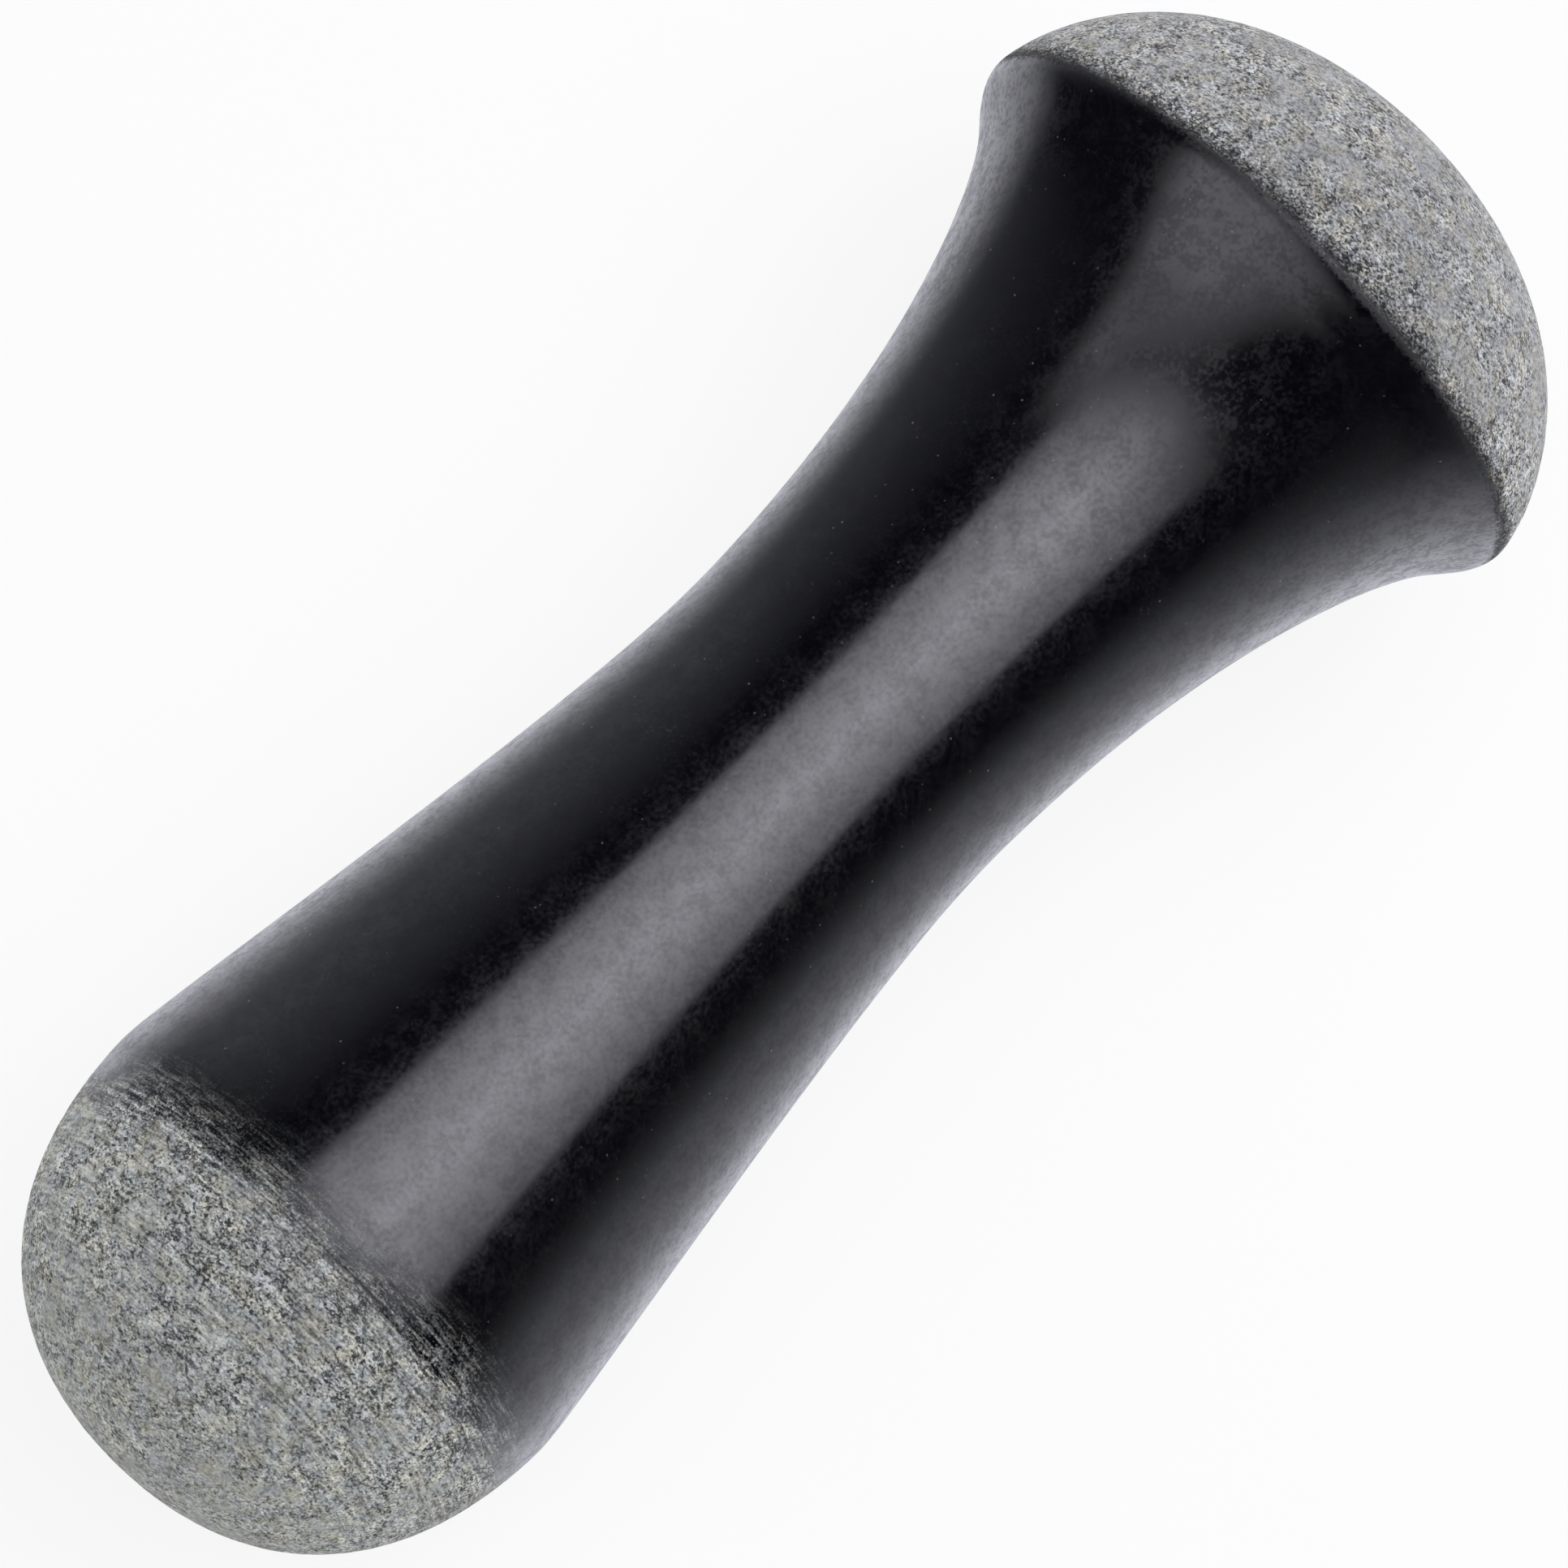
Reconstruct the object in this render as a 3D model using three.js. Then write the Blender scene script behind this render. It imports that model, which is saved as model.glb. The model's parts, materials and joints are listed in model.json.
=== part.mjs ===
// A granite kitchen pestle, turned from one stone and lying on its side.
// Its stone is finished in three zones: a rough grinding bulb, a polished waisted grip and a rough pounding head.
// Lengths are millimetres. Stations run along the pestle's own axis, from the bulb's tip to the head's crown.

import * as THREE from "three";

// Diameters where the outline runs along the axis
const BULB_DIAMETER = 49.2;
const WAIST_DIAMETER = 34.5;
const HEAD_DIAMETER = 60.3;

// The lip, where the flare is steepest and starts to round over into the head's rim
const LIP_DIAMETER = 54.6;
const LIP_ANGLE = 36.6; // degrees from the axis

// Lengths along the axis, end to end
const BULB_HEIGHT = 25.9; // from the bulb's tip to its widest circle
const TAPER_LENGTH = 61.8; // from there to the waist
const FLARE_LENGTH = 47.4; // from the waist to the lip
const LIP_LENGTH = 4.7; // from the lip to the head's widest circle, its rim
const DOME_HEIGHT = 20.2; // from the rim to the crown

// Fullness: how far each curve follows its end tangent, as a share of its own height or radius
const BULB_TIP_FULLNESS = 0.71;
const BULB_SIDE_FULLNESS = 0.53;
const TAPER_BULB_FULLNESS = 0.066;
const TAPER_WAIST_FULLNESS = 0.243;
const FLARE_WAIST_FULLNESS = 0.514;
const FLARE_LIP_FULLNESS = 0.141;
const LIP_FLARE_FULLNESS = 0.462;
const LIP_RIM_FULLNESS = 0.363;
const DOME_RIM_FULLNESS = 0.175;
const DOME_CROWN_FULLNESS = 0.8125;

// Facets
const ROUND_FACETS = 48; // round the axis; an even count gives a flat to lie on
const BULB_STEPS = 14;
const TAPER_STEPS = 12;
const FLARE_STEPS = 12;
const LIP_STEPS = 7;
const DOME_STEPS = 14;

// Finishes
const POLISHED_COLOUR = 0x1d1d21;
const POLISHED_ROUGHNESS = 0.3;
const ROUGH_COLOUR = 0x919190;
const ROUGH_ROUGHNESS = 0.95;

// The outline's six key points, as (radius, station)
const bulbTip = new THREE.Vector2(0, 0);
const bulbSide = new THREE.Vector2(BULB_DIAMETER / 2, BULB_HEIGHT);
const waist = new THREE.Vector2(WAIST_DIAMETER / 2, bulbSide.y + TAPER_LENGTH);
const lip = new THREE.Vector2(LIP_DIAMETER / 2, waist.y + FLARE_LENGTH);
const rim = new THREE.Vector2(HEAD_DIAMETER / 2, lip.y + LIP_LENGTH);
const crown = new THREE.Vector2(0, rim.y + DOME_HEIGHT);

const lipSlope = THREE.MathUtils.degToRad(LIP_ANGLE);
const along = (reach) => new THREE.Vector2(0, reach);
const outward = (reach) => new THREE.Vector2(reach, 0);
const upTheLip = (reach) => new THREE.Vector2(reach * Math.sin(lipSlope), reach * Math.cos(lipSlope));

// One smooth stretch of the outline, which leaves its start by one tangent and arrives at its end by another.
function stretch(start, leaving, arriving, end, steps) {
  const curve = new THREE.CubicBezierCurve(start, start.clone().add(leaving), end.clone().sub(arriving), end);
  return curve.getPoints(steps);
}

const bulbOutline = stretch(
  bulbTip,
  outward(bulbSide.x * BULB_TIP_FULLNESS),
  along(BULB_HEIGHT * BULB_SIDE_FULLNESS),
  bulbSide,
  BULB_STEPS,
);
const taperOutline = stretch(
  bulbSide,
  along(TAPER_LENGTH * TAPER_BULB_FULLNESS),
  along(TAPER_LENGTH * TAPER_WAIST_FULLNESS),
  waist,
  TAPER_STEPS,
);
const flareOutline = stretch(
  waist,
  along(FLARE_LENGTH * FLARE_WAIST_FULLNESS),
  upTheLip(FLARE_LENGTH * FLARE_LIP_FULLNESS),
  lip,
  FLARE_STEPS,
);
const lipOutline = stretch(
  lip,
  upTheLip(LIP_LENGTH * LIP_FLARE_FULLNESS),
  along(LIP_LENGTH * LIP_RIM_FULLNESS),
  rim,
  LIP_STEPS,
);
const domeOutline = stretch(
  rim,
  along(DOME_HEIGHT * DOME_RIM_FULLNESS),
  outward(-rim.x * DOME_CROWN_FULLNESS),
  crown,
  DOME_STEPS,
);

// A point's place on the axis, which closes a zone with a flat disc.
const onAxis = (point) => new THREE.Vector2(0, point.y);

const halfFacet = Math.PI / ROUND_FACETS;

// One zone of the stone: its outline turned about the axis.
function turned(name, outline, colour, roughness) {
  const geometry = new THREE.LatheGeometry(outline, ROUND_FACETS, halfFacet);
  const material = new THREE.MeshStandardMaterial({ color: colour, roughness, metalness: 0 });
  const mesh = new THREE.Mesh(geometry, material);
  mesh.name = name;
  return mesh;
}

function grindingBulb() {
  return turned("grinding_bulb", [...bulbOutline, onAxis(bulbSide)], ROUGH_COLOUR, ROUGH_ROUGHNESS);
}

function polishedGrip() {
  const outline = [
    onAxis(bulbSide),
    ...taperOutline,
    ...flareOutline.slice(1),
    ...lipOutline.slice(1),
    onAxis(rim),
  ];
  return turned("polished_grip", outline, POLISHED_COLOUR, POLISHED_ROUGHNESS);
}

function poundingHead() {
  return turned("pounding_head", [onAxis(rim), ...domeOutline], ROUGH_COLOUR, ROUGH_ROUGHNESS);
}

// The axis's slope when the pestle lies on its bulb and its rim.
// Of all lines from the bulb to the lip, the one it rests on stands furthest out at the waist.
function restingTilt() {
  let furthest = 0;
  let tilt = 0;
  for (const low of bulbOutline) {
    for (const high of lipOutline) {
      const rise = high.x - low.x;
      const run = high.y - low.y;
      const reach = low.x + (rise * (waist.y - low.y)) / run;
      if (reach > furthest) {
        furthest = reach;
        tilt = Math.atan2(rise * Math.cos(halfFacet), run);
      }
    }
  }
  return tilt;
}

// The stone lies along +X, with its head towards +X, and rests on z = 0 with the origin under the middle of its box.
function lyingDown(...zones) {
  const stone = new THREE.Group();
  stone.add(...zones);
  stone.rotation.z = -Math.PI / 2;
  const lying = new THREE.Group();
  lying.add(stone);
  lying.rotation.y = -restingTilt();
  const box = new THREE.Box3().setFromObject(lying, true);
  const middle = box.getCenter(new THREE.Vector3());
  lying.position.set(-middle.x, -middle.y, -box.min.z);
  return lying;
}

const pestle = new THREE.Group();
pestle.add(lyingDown(grindingBulb(), polishedGrip(), poundingHead()));

export default pestle;
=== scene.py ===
import json
import math

import bpy
import numpy as np
from mathutils import Matrix, Vector, noise


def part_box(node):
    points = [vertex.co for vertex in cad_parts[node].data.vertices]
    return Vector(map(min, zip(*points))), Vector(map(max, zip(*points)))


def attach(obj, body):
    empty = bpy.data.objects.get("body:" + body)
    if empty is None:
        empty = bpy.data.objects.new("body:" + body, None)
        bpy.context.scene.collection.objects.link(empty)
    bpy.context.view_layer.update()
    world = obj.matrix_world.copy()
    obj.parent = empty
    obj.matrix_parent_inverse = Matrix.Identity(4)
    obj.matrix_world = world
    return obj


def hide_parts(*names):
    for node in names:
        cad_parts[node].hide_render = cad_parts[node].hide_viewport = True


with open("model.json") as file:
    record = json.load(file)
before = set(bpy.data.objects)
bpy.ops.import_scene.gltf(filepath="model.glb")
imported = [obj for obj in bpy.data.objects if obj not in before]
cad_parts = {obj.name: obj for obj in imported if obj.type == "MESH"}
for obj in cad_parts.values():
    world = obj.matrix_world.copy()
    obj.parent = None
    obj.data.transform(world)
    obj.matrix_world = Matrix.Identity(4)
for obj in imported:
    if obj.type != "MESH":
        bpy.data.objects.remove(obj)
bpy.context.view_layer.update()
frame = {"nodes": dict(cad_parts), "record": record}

# The looks of a granite pestle: one stone with a rough grinding bulb, a polished grip and a rough head.
# Lengths are metres. Stations run along the stone's own axis, from the bulb's tip to the head's crown.
MM = 0.001

# The CAD model's nodes, its body and its material slots
BULB = "grinding_bulb"
GRIP = "polished_grip"
HEAD = "pounding_head"
BODY = "root"

# Outline
SAME_RING = 0.05 * MM  # rings of the CAD model closer than this are one ring
INSET = 0.999  # keeps the smooth outline inside the faceted one
SPAN_STEPS = 40  # points of the smooth outline between two rings

# Mesh grids: rows along the outline, columns round the axis
GRIP_COLUMNS = 288
GRIP_ROW = 0.7 * MM
END_COLUMNS = 512
END_ROW = 0.21 * MM
SEAM_ROW = 0.02 * MM  # rows are this close where two zones meet
ROW_GROWTH = 0.16  # how fast rows open out from there, as a share of the distance
FEWEST_COLUMNS = 16

# The share of the rough finish at each station, at the bulb's worn edge and at the head's edge
BULB_EDGE = (
    (17.5 * MM, 1.0),
    (18.5 * MM, 0.82),
    (19.7 * MM, 0.68),
    (20.6 * MM, 0.35),
    (22.5 * MM, 0.14),
    (24.5 * MM, 0.025),
    (26.2 * MM, 0.0),
)
HEAD_EDGE = (
    (138.9 * MM, 0.0),
    (139.5 * MM, 0.18),
    (140.2 * MM, 0.5),
    (140.7 * MM, 0.74),
    (141.6 * MM, 1.0),
)
HEAD_EDGE_LEAN = 0.012  # the slope at which the head's edge runs askew across the stone
BULB_ROUGH_TO = BULB_EDGE[0][0]
BULB_POLISHED_FROM = BULB_EDGE[-1][0]
HEAD_POLISHED_TO = HEAD_EDGE[0][0]
HEAD_ROUGH_FROM = HEAD_EDGE[-1][0]
BREAK_STRENGTH = 7.0  # how much the grain breaks up the finish's edges

# Relief of the rough ends, all of it cut inwards
DENT_SIZE = 1.3 * MM
DENT_DEPTH = 0.05 * MM
PIT_SIZE = 0.7 * MM
PIT_DEPTH = 0.09 * MM
PIT_LEVEL = 0.2  # noise above this makes a pit
PIT_PLACE = Vector((7, 3, 5))  # sets the pits' noise apart from the dents'
GROOVE_PITCH = 0.45 * MM
GROOVE_DEPTH = 0.03 * MM
GROOVES_FROM = 11 * MM
GROOVE_LENGTH = 3 * MM  # over which a groove fades in and out round its ring
GROOVE_LEVEL = 0.6  # about its average depth, as a share of GROOVE_DEPTH
HEAD_STEP = 0.05 * MM  # the rough dome lies this much below the polished rim

# Fine rings scored into the polished side of the rim, as distances back from it
SCORES = (1.25 * MM, 1.9 * MM)
SCORE_WIDTH = 0.12 * MM
SCORE_DEPTH = 0.012 * MM
SCORE_LENGTH = 14 * MM  # over which a score fades in and out round its ring
SCORE_LEVEL = 0.3  # about its average depth, as a share of SCORE_DEPTH

# Camera, at the photograph's viewing angle
PHOTO_SIDE = 1932  # pixels
FOCAL_LENGTH = 16000  # pixels
SENSOR = 36  # millimetres, as Blender counts a lens
CAMERA_DISTANCE = 1.0998
CAMERA_LEAN = math.radians(13.3)  # from square to the stone's axis, towards the bulb
PICTURE_TURN = math.radians(45.57)  # of the stone in the picture, anticlockwise from level
AIM_STATION = 81.12 * MM
AIM_ASIDE = 0.075 * MM  # from the axis, towards the picture's lower right

# Shader nodes
MIDDLE = 0.5  # of what runs from 0 to 1: noises, random numbers, tones and shares
DETAIL = 2.0  # octaves of a plain noise
SOFT_DETAIL = 1.5
CRISP_DETAIL = 3.0
TINT_DETAIL = 4.0

# Places of the Mix node's sockets, of which several have the same name
MIX_SHARE = 0
MIX_VALUES = (2, 3)
MIX_COLOURS = (6, 7)
MIXED_VALUE = 0
MIXED_COLOUR = 2

# Granite: the sizes of its patterns
GRAIN = 0.6 * MM
FINE_GRAIN = 0.3 * MM
SPECKLE = 0.24 * MM
GRAIN_BEND = 0.3 * MM  # how far the grains' borders are pushed about
GRAIN_DRAW = (1.0, 1.0, 1.5)  # grains are drawn out round the axis
PATCH = 2.4 * MM
# the size of the dark spots of painted shade, as in small pits
PIT_SHADE_SIZE = 0.55 * MM
CALM = 4.0 * MM  # areas where the grain shows less and more
TINT_SIZE = 1.6 * MM
FLECK = 0.42 * MM
BLOTCH = 1.8 * MM
WAVE = 1.6 * MM  # faint waviness left by polishing
WAVE_HEIGHT = 0.0045 * MM
GRIT_HEIGHT = 0.02 * MM

# Streaks that turning left: their length round the ring and their width
DASH = (2.6 * MM, 0.3 * MM)
HAIR = (1.8 * MM, 0.13 * MM)
RING_LINE = (16 * MM, 0.42 * MM)

# How much each pattern counts in the grain, in the turning marks, in the polish's wear and in broken edges
GRAIN_SHARES = {"grains": 0.22, "fine": 0.46, "speckle": 1.2, "patches": 0.45}
TURNED_SHARES = {"dashes": 0.85, "hairs": 0.35, "lines": 0.3}
WEAR_SHARES = {"flecks": 1.0, "blotches": 0.8}
BULB_BREAKS = {"lines": 0.4, "dashes": 0.8, "hairs": 0.4, "speckle": 0.8, "patches": 0.5}
HEAD_BREAKS = {"fine": 0.3, "speckle": 0.9, "patches": 0.5, "dashes": 0.3}

# The rough finish
PIT_SHADE_LEVELS = (0.58, 0.74)  # noise from the first to the second level makes a dark spot of painted shade, as in a small pit
PIT_SHADE_TONE = 0.5  # how much darker than the grain it is
CALM_NOISE = (0.35, 0.65)  # from the calmest areas to the liveliest
CALM_LEVELS = (0.55, 1.4)
CONTRAST = (  # of the grain, by station
    (3 * MM, 0.86),
    (12 * MM, 1.18),
    (20 * MM, 1.2),
    (135 * MM, 1.1),
)
TURNING = (  # how much the turning marks show, by station
    (3 * MM, 0.1),
    (9 * MM, 1.0),
    (27 * MM, 1.0),
    (30 * MM, 0.0),
)
ROUGH_TONES = (
    (0.0, (0.023, 0.024, 0.024)),
    (0.25, (0.116, 0.117, 0.112)),
    (0.5, (0.285, 0.287, 0.273)),
    (0.75, (0.431, 0.433, 0.412)),
    (1.0, (0.613, 0.611, 0.585)),
)
TINT_NOISE = (0.25, 0.75)  # from the coolest tint to the warmest
TINTS = (
    (0.0, (0.93, 0.98, 1.05)),
    (0.5, (0.99, 1.0, 0.97)),
    (1.0, (1.06, 1.0, 0.83)),
)
STONE_HUES = (  # from the bulb to the head
    (0.0, (0.984, 1.0, 0.988)),
    (1.0, (1.012, 1.0, 1.028)),
)
ROUGH_ROUGHNESS = 0.92

# The polished finish
POLISHED_CONTRAST = 0.55  # of the grain, against that of the rough finish
POLISHED_TONES = (
    (0.0, (0.0002, 0.0002, 0.0006)),
    (0.5, (0.0004, 0.0004, 0.0013)),
    (0.72, (0.002, 0.002, 0.0034)),
    (1.0, (0.018, 0.018, 0.021)),
)
SPECK_CELL = 1.3 * MM  # one speck at most in each cell of about this size
SPECK_RADIUS = 0.14 * MM
SPECK_CORE = 0.042 * MM  # radius of the part that is fully bright
SPECK_LEVELS = (0.35, 1.0)  # random numbers of the cells without a speck and with the brightest
SPECK_COLOUR = (0.1, 0.094, 0.09, 1)
WEAR_LEVELS = (-0.4, 0.5)  # of the pattern of wear, where the polish is whole and where it is worn
GLOSS = (0.14, 0.27)  # the stone's roughness in both places
WAX = (0.62, 0.08)  # how much of a full film the wax makes in both places
WAX_ROUGHNESS = 0.13
STONE_IOR = 1.62
WAX_IOR = 1.4
COARSE_FROM_TO = (112 * MM, 130 * MM)  # the flare is polished more coarsely towards its lip
COARSENESS = (2.2, 3.8)  # along the grip and at the lip
DULL_FROM_TO = (138.2 * MM, 139.5 * MM)  # the polish grows dull towards the head's edge
DULL_ROUGHNESS = 0.9

# Studio: brightness 1 looks white
FLOOR_HALF = 6.0
FLOOR_COLOUR = (0.9, 0.9, 0.9, 1)
FLOOR_GLOW = (0.985, 0.985, 0.985, 1)
FLOOR_GLOW_SHARE = 0.87  # of what is seen of the floor, so that it stays pale far from the lamps
FAR_COLOUR = (0.895, 0.895, 0.895, 1)  # seen behind the floor's far edge

# What the polish mirrors round the stone. Levels in pairs are those at the -Y and the +Y side.
GLOW_LEVEL = 0.27  # of the horizon, on average round the stone
GLOW_LEAN = (0.46, -0.1, 0.0)  # how the glow grows in each direction
GLOW_MOST = 0.38
GLOW_TOPS = (0.33, 0.7)  # the sines of the heights at which it ends
GLOW_COLOUR = (0.98, 1.0, 1.08, 1)
DIM_COLOURS = ((0.007, 0.0075, 0.012, 1), (0.015, 0.016, 0.024, 1))  # of the room above it
GROUND_TOPS = (0.04, -0.44)  # the sines of the heights from which the pale ground shows
GROUND_LEAN = 0.28  # how much higher it shows towards +X
GROUND_FULL = -0.74  # the sine from which it is in full light
GROUND_LEVELS = (1.14, 0.88)
SHADED_FROM = -0.87  # the sine below which the stone shades it
SHADED_LEVEL = 0.55
GROUND_COLOUR = (0.955, 0.96, 1.06)

# Light from all round the horizon on the rough finish, which the polish doesn't mirror
HAZE_LEVEL = 4.8
HAZE_TOPS = (0.08, 0.36)  # the sines of the heights between which it ends

# Lamps: glowing sheets that face a point.
# A sheet's length runs along the stone, or upwards where the sheet stands at the stone's end.
# Its widths are those at the start and at the end of its length.
# Its brightness changes along its length and across it as two curves give it.
# Above the stone the curve along it runs from -X to +X, and the curve across it from +Y to -Y.
STONE_MIDDLE = (0, 0, 0.03)
LAMP_COLOUR = (0.965, 0.965, 1.055, 1)
EVEN = ((0.0, 1.0), (1.0, 1.0))
OVERHEAD_BOX = {
    "centre": (0.12, -0.11, 0.55),
    "aim": (0.12, -0.11, 0),
    "length": 0.6,
    "widths": (0.73, 0.73),
    "brightness": 3.7,
    "lengthways": ((0.0, 0.0), (0.24, 1.0), (1.0, 1.0)),
    "across": ((0.0, 0.4), (0.27, 0.78), (0.43, 1.0), (0.67, 0.66), (0.8, 0.47), (1.0, 0.33)),
}
SIDE_BOX = {
    "centre": (-0.494, 0.236, 0.568),
    "aim": STONE_MIDDLE,
    "length": 1.0,
    "widths": (1.22, 0.68),
    "brightness": 1.34,
    "lengthways": ((0.0, 0.0), (0.08, 1.0), (0.58, 1.0), (0.72, 0.6), (0.92, 0.6), (1.0, 0.0)),
    "across": ((0.0, 0.0), (0.2, 1.0), (0.52, 1.0), (0.8, 0.42), (1.0, 0.0)),
}
CROWN_CARD = {
    "centre": (0.8, 0.0, 0.45),
    "aim": STONE_MIDDLE,
    "length": 0.7,
    "widths": (0.9, 0.9),
    "brightness": 0.75,
}

# The record's one mount lies at the waist, on the stone's axis
hand_grip = frame["record"]["mounts"][0]
waist = np.array(hand_grip["pos_m"], float)
axis = np.array(hand_grip["axis"], float)
axis /= np.linalg.norm(axis)


def in_scene(name, data):
    """A new object in the scene."""
    made = bpy.data.objects.new(name, data)
    bpy.context.scene.collection.objects.link(made)
    return made


def placed(origin, x, y, z):
    """The matrix of a frame with the given origin and axes."""
    return Matrix.Translation(origin) @ Matrix((x, y, z)).transposed().to_4x4()


def cad_outline():
    """The CAD zones' rings, as rows of (distance from the waist along the axis, radius to the flats)."""
    corners = np.vstack([[vertex.co for vertex in node.data.vertices] for node in frame["nodes"].values()])
    along = (corners - waist) @ axis
    radius = np.linalg.norm(corners - waist - np.outer(along, axis), axis=1)
    at_end = (along < along.min() + SAME_RING) | (along > along.max() - SAME_RING)
    on_surface = (radius > SAME_RING) | at_end
    rings = np.column_stack([along, radius])[on_surface]
    rings = rings[np.argsort(rings[:, 0], kind="stable")]
    rings = rings[np.diff(rings[:, 0], prepend=-np.inf) > SAME_RING]
    # The head's box is as wide as its flats, which lie a little inside its corners
    low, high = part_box(HEAD)
    rings[:, 1] *= (high.y - low.y) / 2 / rings[:, 1].max()
    rings[[0, -1], 1] = 0
    return rings * INSET


def smooth_through(points):
    """Close points of a smooth curve through the given ones, which is square to the axis at both ends."""
    spans = np.linalg.norm(np.diff(points, axis=0), axis=1)
    reach = np.concatenate([[0], np.cumsum(spans)])
    tangents = np.gradient(points, reach, axis=0, edge_order=2)
    tangents[[0, -1], 0] = 0
    start = points[:-1, None]
    end = points[1:, None]
    leaving = tangents[:-1, None] * spans[:, None, None]
    arriving = tangents[1:, None] * spans[:, None, None]
    share = np.linspace(0, 1, SPAN_STEPS, endpoint=False)[None, :, None]
    rest = 1 - share
    curve = start + (end - start) * share**2 * (3 - 2 * share)
    curve += leaving * share * rest**2
    curve -= arriving * share**2 * rest
    return np.vstack([curve.reshape(-1, 2), points[-1:]])


rings = cad_outline()
tip = waist + axis * rings[0, 0]
rings[:, 0] -= rings[0, 0]
outline = smooth_through(rings)
arcs = np.concatenate([[0], np.cumsum(np.linalg.norm(np.diff(outline, axis=0), axis=1))])


def zone_stations(node):
    """The stations at which a CAD zone begins and ends."""
    corners = np.array([vertex.co for vertex in frame["nodes"][node].data.vertices])
    along = (corners - tip) @ axis
    return along.min(), along.max()


grip_start, rim = zone_stations(GRIP)
crown = outline[-1, 0]


def stone_frame():
    """The stone's own frame: Z along its axis from the bulb's tip, X upwards."""
    z = Vector(axis)
    y = z.cross(Vector((0, 0, 1))).normalized()
    return placed(Vector(tip), y.cross(z), y, z)


def fade(value, low, high):
    """0 below low, 1 above high, and smooth in between."""
    share = min(max((value - low) / (high - low), 0), 1)
    return share * share * (3 - 2 * share)


def graded_rows(start, end, widest, fine_start, fine_end):
    """Arc lengths from start to end, close together at the ends that meet another zone."""
    rows = [start]
    while rows[-1] < end:
        room = widest
        if fine_start:
            room = min(room, SEAM_ROW + ROW_GROWTH * (rows[-1] - start))
        if fine_end:
            room = min(room, SEAM_ROW + ROW_GROWTH * max(end - rows[-1], 0))
        rows.append(rows[-1] + room)
    rows = np.array(rows)
    return start + (rows - start) * (end - start) / (rows[-1] - start)


def column_count(radius, widest_radius, columns):
    """Fewer columns towards the axis: half as many each time the ring is half as wide."""
    while radius < widest_radius / 2 and columns > FEWEST_COLUMNS:
        columns //= 2
        radius *= 2
    return columns


def following(ring):
    """A ring of vertex numbers, each one place further round."""
    return ring[1:] + ring[:1]


def fan(centre, ring):
    """Faces between a point and the ring round it."""
    return [(centre, here, after) for here, after in zip(ring, following(ring))]


def bridge(first, second):
    """Faces between two neighbouring rings of vertex numbers, with equal counts or one twice the other."""
    if len(first) > len(second):
        return [face[::-1] for face in bridge(second, first)]
    if len(first) == len(second):
        return list(zip(first, following(first), following(second), second))
    lefts = second[::2]
    middles = second[1::2]
    faces = []
    for here, after, left, middle, right in zip(first, following(first), lefts, middles, following(lefts)):
        faces += [(here, middle, left), (here, after, middle), (after, right, middle)]
    return faces


def skin(ring_numbers):
    """Faces over a turned surface, from ring to ring. A ring of one vertex lies on the axis."""
    faces = []
    for before, after in zip(ring_numbers, ring_numbers[1:]):
        if len(before) == 1:
            faces += [face[::-1] for face in fan(before[0], after)]
        elif len(after) == 1:
            faces += fan(after[0], before)
        else:
            faces += bridge(before, after)
    return faces


def ring_points(station, radius, slope, count, relief):
    """One ring of a turned surface, with the relief cut in square to the surface."""
    points = []
    for column in range(count):
        angle = 2 * math.pi * column / count
        way = Vector((math.cos(angle), math.sin(angle), 0))
        point = way * radius + Vector((0, 0, station))
        outward = (way * slope[0] - Vector((0, 0, slope[1]))).normalized()
        points.append(point - outward * relief(point))
    return points


def turned_surface(start, end, columns, row, relief):
    """The vertices, in the stone's frame, of the smooth outline turned about the axis, and their rings."""
    first, last = np.interp([start, end], outline[:, 0], arcs)
    rows = graded_rows(first, last, row, start > 0, end < crown)
    stations = np.interp(rows, arcs, outline[:, 0])
    radii = np.interp(rows, arcs, outline[:, 1])
    stations[[0, -1]] = start, end
    slopes = np.gradient(np.column_stack([stations, radii]), rows, axis=0)
    vertices = []
    ring_numbers = []
    for station, radius, slope in zip(stations, radii, slopes):
        if radius < SAME_RING:
            points = [Vector((0, 0, station))]
        else:
            count = column_count(radius, radii.max(), columns)
            points = ring_points(station, radius, slope, count, relief)
        ring_numbers.append(list(range(len(vertices), len(vertices) + len(points))))
        vertices += points
    return vertices, ring_numbers


def sharpen(mesh, faces):
    """Make the edges of the given faces sharp."""
    edge_numbers = {key: number for number, key in enumerate(mesh.edge_keys)}
    for face in faces:
        for key in face.edge_keys:
            mesh.edges[edge_numbers[key]].use_edge_sharp = True


def turned_piece(name, start, end, columns, row, relief):
    """One zone of the stone with its relief cut in, closed with a flat disc where it meets another zone."""
    vertices, ring_numbers = turned_surface(start, end, columns, row, relief)
    faces = skin(ring_numbers)
    discs = [ring for ring in (ring_numbers[0][::-1], ring_numbers[-1]) if len(ring) > 1]
    mesh = bpy.data.meshes.new(name)
    mesh.from_pydata(vertices, [], faces + discs)
    mesh.polygons.foreach_set("use_smooth", [True] * len(faces) + [False] * len(discs))
    mesh.update()
    sharpen(mesh, list(mesh.polygons)[len(faces):])
    mesh.transform(stone_frame())
    return in_scene(name, mesh)


def dents(point):
    """Depth of the rough surface's dents and pits."""
    dent = (1 - noise.noise(point / DENT_SIZE)) / 2
    pit = max(0, noise.noise(point / PIT_SIZE + PIT_PLACE) - PIT_LEVEL)
    return DENT_DEPTH * dent + PIT_DEPTH * pit


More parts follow.
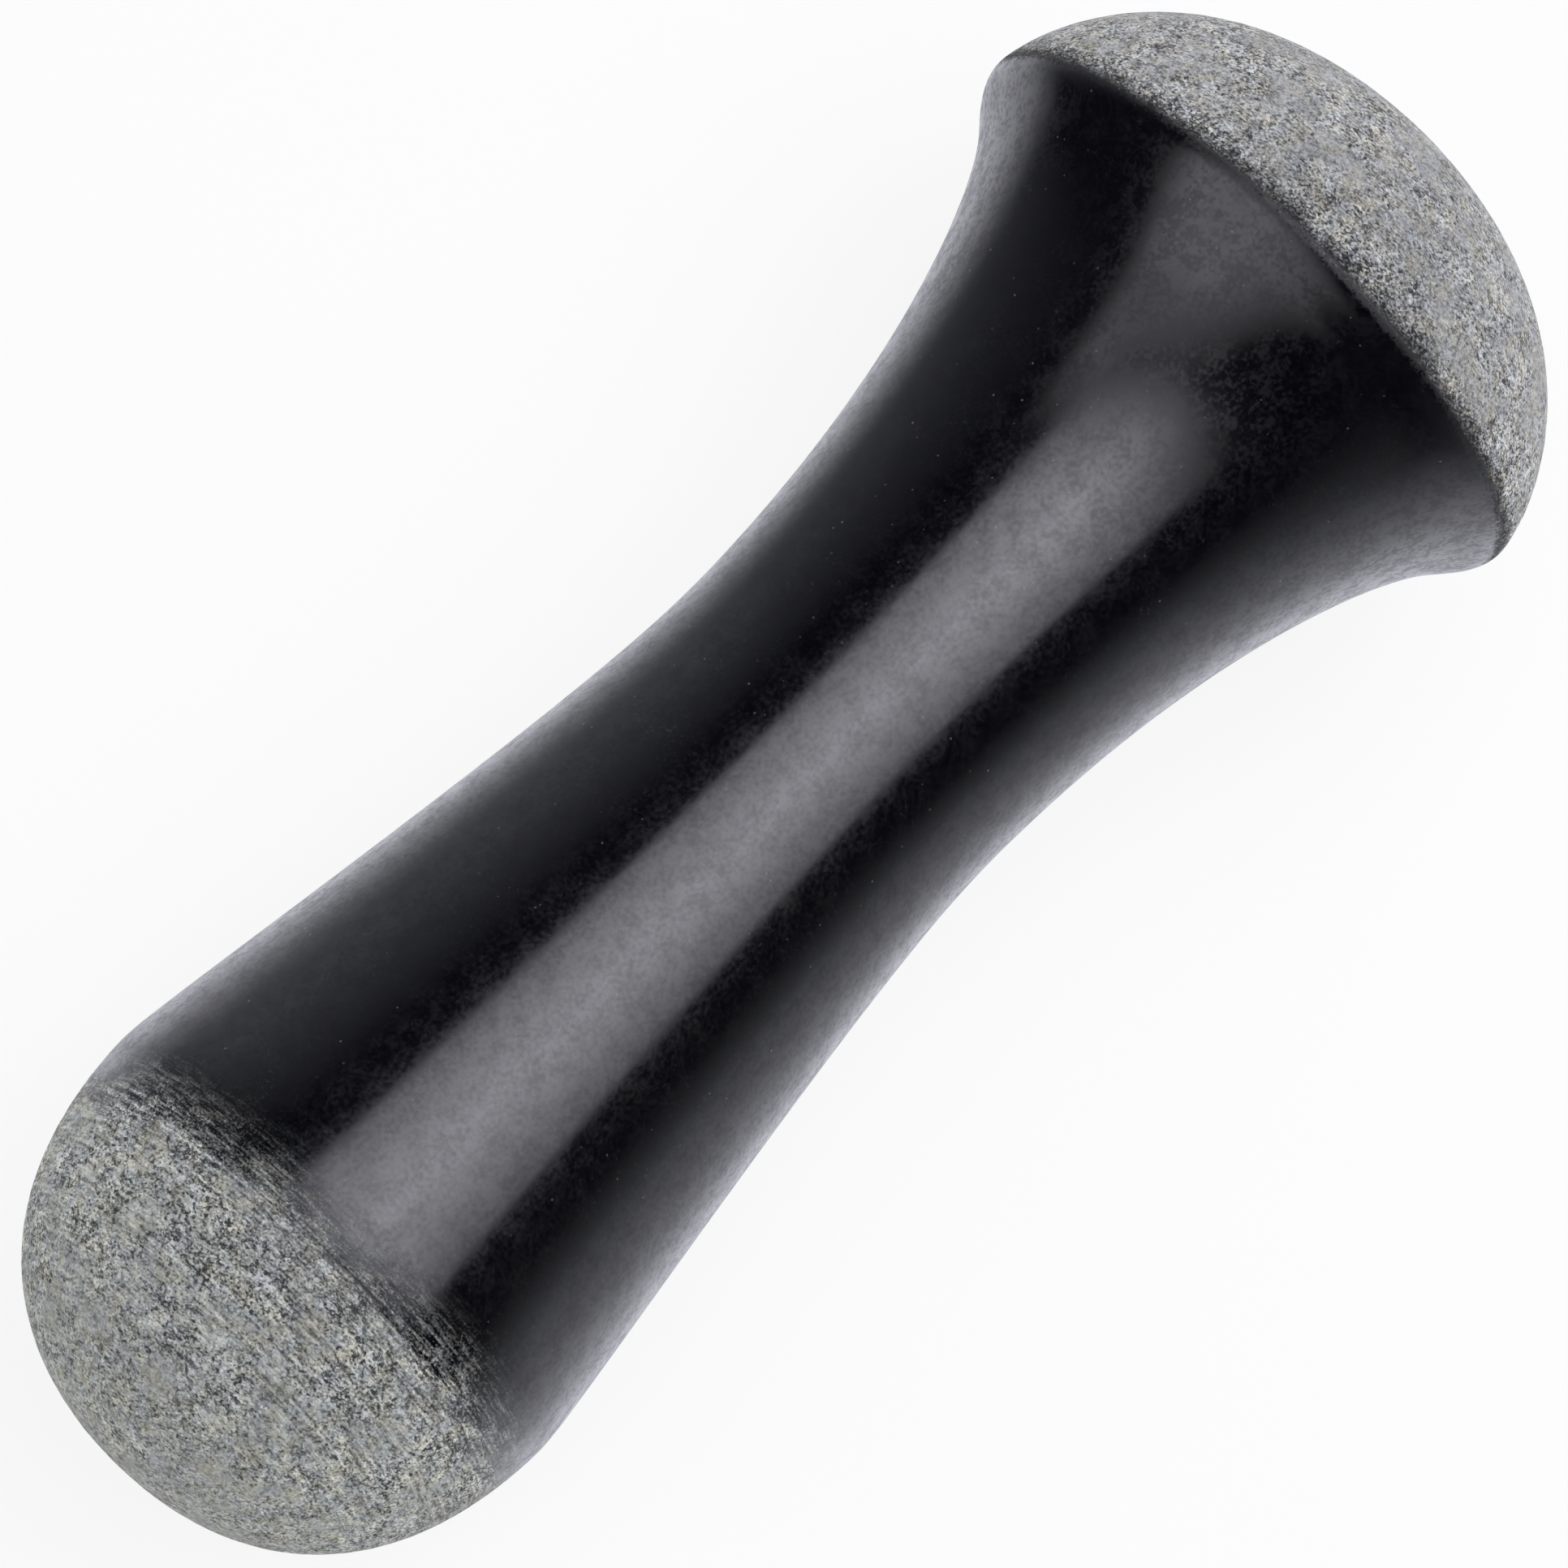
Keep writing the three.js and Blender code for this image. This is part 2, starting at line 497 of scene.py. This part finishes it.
def bulb_relief(point):
    """Depth of the bulb's dents and turning grooves, which end at its polished edge."""
    rough = 1 - fade(point.z, BULB_ROUGH_TO, BULB_POLISHED_FROM)
    ring = (1 - math.cos(2 * math.pi * point.z / GROOVE_PITCH)) / 2
    along_ring = Vector((point.x / GROOVE_LENGTH, point.y / GROOVE_LENGTH, point.z / GROOVE_PITCH))
    strength = max(0, GROOVE_LEVEL + noise.noise(along_ring))
    strength *= fade(point.z, GROOVES_FROM, BULB_ROUGH_TO)
    return rough * (dents(point) + GROOVE_DEPTH * ring * strength)


def head_relief(point):
    """Depth of the head's rough surface below the polish."""
    return fade(point.z, HEAD_POLISHED_TO, HEAD_ROUGH_FROM) * (HEAD_STEP + dents(point))


def grip_relief(point):
    """Depth of the scored rings, and of the head's rough surface where it reaches over the rim."""
    depth = head_relief(point)
    for back in SCORES:
        off = (point.z - (rim - back)) / SCORE_WIDTH
        along_score = Vector((point.x / SCORE_LENGTH, point.y / SCORE_LENGTH, back / MM))
        strength = max(0, SCORE_LEVEL + noise.noise(along_score))
        depth += SCORE_DEPTH * strength * math.exp(-off * off)
    return depth


class Graph:
    """A node tree, with short calls for the nodes that the materials and the world use."""

    def __init__(self, owner):
        owner.use_nodes = True
        self.tree = owner.node_tree
        self.tree.nodes.clear()

    def node(self, kind, inputs=None, **settings):
        made = self.tree.nodes.new("ShaderNode" + kind)
        for key, value in settings.items():
            setattr(made, key, value)
        for key, value in (inputs or {}).items():
            if isinstance(value, bpy.types.NodeSocket):
                self.tree.links.new(value, made.inputs[key])
            else:
                made.inputs[key].default_value = value
        return made

    def math(self, operation, first, second):
        return self.node("Math", {0: first, 1: second}, operation=operation).outputs[0]

    def plus(self, first, second):
        return self.math("ADD", first, second)

    def minus(self, first, second):
        return self.math("SUBTRACT", first, second)

    def times(self, first, second):
        return self.math("MULTIPLY", first, second)

    def vector(self, operation, first, second):
        return self.node("VectorMath", {0: first, 1: second}, operation=operation).outputs[0]

    def scaled(self, vector, factor):
        return self.node("VectorMath", {"Vector": vector, "Scale": factor}, operation="SCALE").outputs[0]

    def axes(self, vector):
        return self.node("SeparateXYZ", {0: vector}).outputs

    def split(self, colour):
        return self.node("SeparateColor", {0: colour}).outputs

    def noise(self, vector, size, detail=DETAIL, output="Fac"):
        return self.node("TexNoise", {"Vector": vector, "Scale": 1 / size, "Detail": detail}).outputs[output]

    def cells(self, vector, size):
        return self.node("TexVoronoi", {"Vector": vector, "Scale": 1 / size}).outputs

    def total(self, patterns, shares):
        """The sum of the patterns that have a share, each counted from its middle and times its share."""
        whole = None
        for name, share in shares.items():
            part = self.times(self.minus(patterns[name], MIDDLE), share)
            whole = self.plus(whole, part) if whole else part
        return whole

    def fade(self, value, low, high):
        """0 at low, 1 at high, and smooth in between."""
        inputs = {"Value": value, "From Min": low, "From Max": high}
        return self.node("MapRange", inputs, interpolation_type="SMOOTHSTEP").outputs[0]

    def spread(self, value, low, high, to_low=0.0, to_high=1.0):
        """From to_low to to_high, as the value goes from low to high."""
        inputs = {"Value": value, "From Min": low, "From Max": high, "To Min": to_low, "To Max": to_high}
        return self.node("MapRange", inputs).outputs[0]

    def pair(self, side, levels):
        """From the first level to the second, as side goes from -1 to 1."""
        return self.spread(side, -1.0, 1.0, *levels)

    def mix(self, share, first, second, blend="MIX"):
        """Two colours, mixed or blended."""
        one, other = MIX_COLOURS
        inputs = {MIX_SHARE: share, one: first, other: second}
        return self.node("Mix", inputs, data_type="RGBA", blend_type=blend).outputs[MIXED_COLOUR]

    def mix_values(self, share, first, second):
        one, other = MIX_VALUES
        inputs = {MIX_SHARE: share, one: first, other: second}
        return self.node("Mix", inputs, data_type="FLOAT").outputs[MIXED_VALUE]

    def curve(self, value, points):
        """Straight lines between the given points."""
        start = points[0][0]
        end = points[-1][0]
        stops = [((at - start) / (end - start), (level,) * 3) for at, level in points]
        return self.ramp(self.spread(value, start, end), stops)

    def ramp(self, value, stops):
        made = self.node("ValToRGB", {0: value})
        elements = made.color_ramp.elements
        while len(elements) < len(stops):
            elements.new(1)
        for element, (position, colour) in zip(elements, stops):
            element.position = position
            element.color = (*colour, 1)
        return made.outputs[0]


def stone_place(graph):
    """A point's place in the stone's own frame."""
    point = graph.node("TexCoord").outputs["Object"]
    inputs = {"Vector": point, "Location": tip, "Rotation": stone_frame().to_euler()}
    return graph.node("Mapping", inputs, vector_type="TEXTURE").outputs[0]


def streaks(graph, place, size):
    """Noise drawn out round the axis."""
    length, width = size
    drawn = graph.vector("MULTIPLY", place, (1 / length, 1 / length, 1 / width))
    return graph.noise(drawn, 1, detail=SOFT_DETAIL)


def stone_patterns(graph, place):
    """The patterns that make up the stone's grain, its turning marks and the wear of its polish."""
    bend = graph.vector("SUBTRACT", graph.noise(place, GRAIN, output="Color"), (MIDDLE,) * 3)
    bent = graph.vector("ADD", place, graph.scaled(bend, GRAIN_BEND))
    drawn = graph.vector("MULTIPLY", bent, GRAIN_DRAW)
    return {
        "grains": graph.split(graph.cells(drawn, GRAIN)["Color"])[0],
        "fine": graph.split(graph.cells(drawn, FINE_GRAIN)["Color"])[0],
        "speckle": graph.noise(graph.vector("MULTIPLY", place, GRAIN_DRAW), SPECKLE),
        "patches": graph.noise(place, PATCH),
        "dashes": streaks(graph, place, DASH),
        "hairs": streaks(graph, place, HAIR),
        "lines": streaks(graph, place, RING_LINE),
        "flecks": graph.noise(place, FLECK, detail=CRISP_DETAIL),
        "blotches": graph.noise(place, BLOTCH),
    }


def broken(graph, share, breaks):
    """A finish's share, broken up by the given pattern where it is neither 0 nor 1."""
    between = graph.times(share, graph.minus(1.0, share))
    change = graph.times(graph.times(breaks, between), BREAK_STRENGTH)
    return graph.node("Math", {0: share, 1: change}, operation="ADD", use_clamp=True).outputs[0]


def grain_tone(graph, place, station, patterns):
    """How much lighter or darker than its middle tone the stone is, with dark spots of painted shade as in
    small pits.
    """
    # dark spots of painted shade, as in small pits, taken off the grain
    pits = graph.fade(graph.noise(place, PIT_SHADE_SIZE, detail=CRISP_DETAIL), *PIT_SHADE_LEVELS)
    grain = graph.minus(graph.total(patterns, GRAIN_SHARES), graph.times(pits, PIT_SHADE_TONE))
    calm = graph.spread(graph.noise(place, CALM), *CALM_NOISE, *CALM_LEVELS)
    return graph.times(grain, graph.times(calm, graph.curve(station, CONTRAST)))


def rough_stone(graph, place, station, patterns, tone):
    """The rough finish's colour: grey, tinted cool and ochre in places, with turning marks on the bulb."""
    marks = graph.times(graph.total(patterns, TURNED_SHARES), graph.curve(station, TURNING))
    grey = graph.ramp(graph.plus(graph.plus(tone, marks), MIDDLE), ROUGH_TONES)
    tint_noise = graph.noise(place, TINT_SIZE, detail=TINT_DETAIL)
    tint = graph.ramp(graph.spread(tint_noise, *TINT_NOISE), TINTS)
    hue = graph.ramp(graph.spread(station, 0.0, crown), STONE_HUES)
    return graph.mix(1.0, grey, graph.mix(1.0, tint, hue, blend="MULTIPLY"), blend="MULTIPLY")


def polished_stone(graph, place, tone):
    """The polished finish's colour: near black with a faint grain and scattered pale specks."""
    dark = graph.ramp(graph.plus(graph.times(tone, POLISHED_CONTRAST), MIDDLE), POLISHED_TONES)
    specks = graph.cells(place, SPECK_CELL)
    chosen = graph.spread(graph.split(specks["Color"])[0], *SPECK_LEVELS)
    dot = graph.fade(specks["Distance"], SPECK_RADIUS / SPECK_CELL, SPECK_CORE / SPECK_CELL)
    return graph.mix(graph.times(dot, chosen), dark, SPECK_COLOUR)


def worn_polish(graph, station, patterns, dull):
    """How much wax covers the polish, and how rough the stone is under it."""
    coarse = graph.spread(station, *COARSE_FROM_TO, *COARSENESS)
    worn = graph.times(graph.total(patterns, WEAR_SHARES), coarse)
    wax = graph.mix_values(dull, graph.spread(worn, *WEAR_LEVELS, *WAX), 0.0)
    gloss = graph.mix_values(dull, graph.spread(worn, *WEAR_LEVELS, *GLOSS), DULL_ROUGHNESS)
    return wax, gloss


def fine_relief(graph, place, patterns, rough):
    """Waves in the polish and grit on the rough finish."""
    wave = graph.times(graph.noise(place, WAVE, detail=CRISP_DETAIL), WAVE_HEIGHT)
    grit = graph.times(graph.plus(patterns["speckle"], patterns["fine"]), GRIT_HEIGHT / 2)
    height = graph.mix_values(rough, wave, grit)
    return graph.node("Bump", {"Height": height, "Distance": 1.0, "Strength": 1.0}).outputs[0]


def granite():
    """The whole stone: rough at both ends and polished and waxed between them."""
    material = bpy.data.materials.new("granite")
    graph = Graph(material)
    place = stone_place(graph)
    patterns = stone_patterns(graph, place)
    _, across, station = graph.axes(place)
    askew = graph.plus(station, graph.times(across, HEAD_EDGE_LEAN))
    head_breaks = graph.total(patterns, HEAD_BREAKS)
    bulb_rough = broken(graph, graph.curve(station, BULB_EDGE), graph.total(patterns, BULB_BREAKS))
    head_rough = broken(graph, graph.curve(askew, HEAD_EDGE), head_breaks)
    rough = graph.math("MAXIMUM", bulb_rough, head_rough)
    tone = grain_tone(graph, place, station, patterns)
    rough_colour = rough_stone(graph, place, station, patterns, tone)
    polished_colour = polished_stone(graph, place, tone)
    dull = broken(graph, graph.fade(askew, *DULL_FROM_TO), head_breaks)
    wax, gloss = worn_polish(graph, station, patterns, dull)
    bump = fine_relief(graph, place, patterns, rough)
    shader = graph.node("BsdfPrincipled", {
        "Base Color": graph.mix(rough, polished_colour, rough_colour),
        "Roughness": graph.mix_values(rough, gloss, ROUGH_ROUGHNESS),
        "Diffuse Roughness": 1.0,
        "IOR": STONE_IOR,
        "Normal": bump,
        "Coat Weight": graph.mix_values(rough, wax, 0.0),
        "Coat Roughness": WAX_ROUGHNESS,
        "Coat IOR": WAX_IOR,
        "Coat Normal": bump,
    })
    graph.node("OutputMaterial", {"Surface": shader.outputs[0]})
    return material


def dress(piece, node, material):
    """Give a piece its material, and put it in the place of a CAD node."""
    piece.data.materials.append(material)
    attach(piece, BODY)
    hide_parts(node)


def make_camera():
    upwards, _, along = stone_frame().to_3x3().col
    back = upwards * math.cos(CAMERA_LEAN) - along * math.sin(CAMERA_LEAN)
    level = along * math.cos(CAMERA_LEAN) + upwards * math.sin(CAMERA_LEAN)
    beside = level.cross(back)
    right = level * math.cos(PICTURE_TURN) + beside * math.sin(PICTURE_TURN)
    up = level * math.sin(PICTURE_TURN) - beside * math.cos(PICTURE_TURN)
    stand = Vector(tip + axis * AIM_STATION) + beside * AIM_ASIDE + back * CAMERA_DISTANCE
    lens = bpy.data.cameras.new("camera")
    lens.sensor_width = SENSOR
    lens.lens = SENSOR * FOCAL_LENGTH / PHOTO_SIDE
    camera = in_scene("camera", lens)
    camera.matrix_world = placed(stand, right, up, back)
    bpy.context.scene.camera = camera


def flat_sheet(name, corners):
    """A sheet of the studio, and its material's empty node tree."""
    mesh = bpy.data.meshes.new(name)
    mesh.from_pydata(corners, [], [(0, 1, 2, 3)])
    sheet = in_scene(name, mesh)
    material = bpy.data.materials.new(name)
    mesh.materials.append(material)
    return sheet, Graph(material)


def facing(centre, aim):
    """A lamp's place: Z towards the point that it faces, X along the stone or upwards."""
    z = (Vector(aim) - Vector(centre)).normalized()
    lengthways = Vector((1, 0, 0)) if abs(z.z) > abs(z.x) else Vector((0, 0, 1))
    y = z.cross(lengthways).normalized()
    return placed(Vector(centre), y.cross(z), y, z)


def softbox(name, centre, aim, length, widths, brightness, lengthways=EVEN, across=EVEN):
    """A lamp, which the camera doesn't see."""
    half = length / 2
    start, end = (width / 2 for width in widths)
    corners = [(-half, -start, 0), (half, -end, 0), (half, end, 0), (-half, start, 0)]
    sheet, graph = flat_sheet(name, corners)
    place = graph.axes(graph.node("TexCoord").outputs["Object"])
    along_share = graph.spread(place["X"], -half, half)
    width = graph.spread(place["X"], -half, half, *widths)
    across_share = graph.plus(graph.math("DIVIDE", place["Y"], width), MIDDLE)
    level = graph.times(graph.curve(along_share, lengthways), graph.curve(across_share, across))
    front = graph.minus(1.0, graph.node("NewGeometry").outputs["Backfacing"])
    strength = graph.times(graph.times(level, front), brightness)
    light = graph.node("Emission", {"Color": LAMP_COLOUR, "Strength": strength}).outputs[0]
    graph.node("OutputMaterial", {"Surface": light})
    sheet.matrix_world = facing(centre, aim)
    sheet.visible_camera = False


def make_floor():
    half = FLOOR_HALF
    corners = [(-half, -half, 0), (half, -half, 0), (half, half, 0), (-half, half, 0)]
    floor, graph = flat_sheet("floor", corners)
    lit = graph.node("BsdfDiffuse", {"Color": FLOOR_COLOUR}).outputs[0]
    glow = graph.node("Emission", {"Color": FLOOR_GLOW}).outputs[0]
    share = graph.times(graph.node("LightPath").outputs["Is Camera Ray"], FLOOR_GLOW_SHARE)
    mixed = graph.node("MixShader", {0: share, 1: lit, 2: glow}).outputs[0]
    graph.node("OutputMaterial", {"Surface": mixed})
    floor.visible_glossy = False


def dim_room(graph, way, side, height):
    """The room above the horizon, which glows towards it."""
    lean = graph.node("VectorMath", {0: way, 1: GLOW_LEAN}, operation="DOT_PRODUCT").outputs["Value"]
    level = graph.spread(graph.plus(lean, GLOW_LEVEL), 0.0, GLOW_MOST, 0.0, GLOW_MOST)
    glow = graph.times(level, graph.spread(height, 0.0, graph.pair(side, GLOW_TOPS), 1.0, 0.0))
    dim = graph.mix(graph.spread(side, -1.0, 1.0), *DIM_COLOURS)
    return graph.mix(glow, dim, GLOW_COLOUR)


def pale_ground(graph, side, height):
    """The lit ground, which is darker straight below, where the stone shades it."""
    shade = graph.spread(height, -1.0, SHADED_FROM, SHADED_LEVEL, 1.0)
    return graph.scaled(GROUND_COLOUR, graph.times(graph.pair(side, GROUND_LEVELS), shade))


def make_world():
    """The far background for the camera, and for the stone a dim room over a pale ground."""
    world = bpy.data.worlds.new("studio")
    bpy.context.scene.world = world
    graph = Graph(world)
    way = graph.node("TexCoord").outputs["Generated"]
    ahead, side, height = graph.axes(way)
    ground_top = graph.plus(graph.pair(side, GROUND_TOPS), graph.times(ahead, GROUND_LEAN))
    ground_share = graph.spread(height, ground_top, GROUND_FULL)
    room = graph.mix(ground_share, dim_room(graph, way, side, height), pale_ground(graph, side, height))
    ray = graph.node("LightPath").outputs
    haze_level = graph.mix_values(ray["Is Glossy Ray"], HAZE_LEVEL, 0.0)
    haze = graph.spread(height, *HAZE_TOPS, haze_level, 0.0)
    lit = graph.mix(1.0, room, haze, blend="ADD")
    colour = graph.mix(ray["Is Camera Ray"], lit, FAR_COLOUR)
    background = graph.node("Background", {"Color": colour}).outputs[0]
    graph.node("OutputWorld", {"Surface": background})


make_camera()

stone = granite()
bulb = turned_piece("bulb", 0, grip_start, END_COLUMNS, END_ROW, bulb_relief)
dress(bulb, BULB, stone)
grip = turned_piece("grip", grip_start, rim, GRIP_COLUMNS, GRIP_ROW, grip_relief)
dress(grip, GRIP, stone)
head = turned_piece("head", rim, crown, END_COLUMNS, END_ROW, head_relief)
dress(head, HEAD, stone)

make_floor()
make_world()
softbox("overhead_box", **OVERHEAD_BOX)
softbox("side_box", **SIDE_BOX)
softbox("crown_card", **CROWN_CARD)

bpy.context.scene.view_settings.view_transform = "Standard"
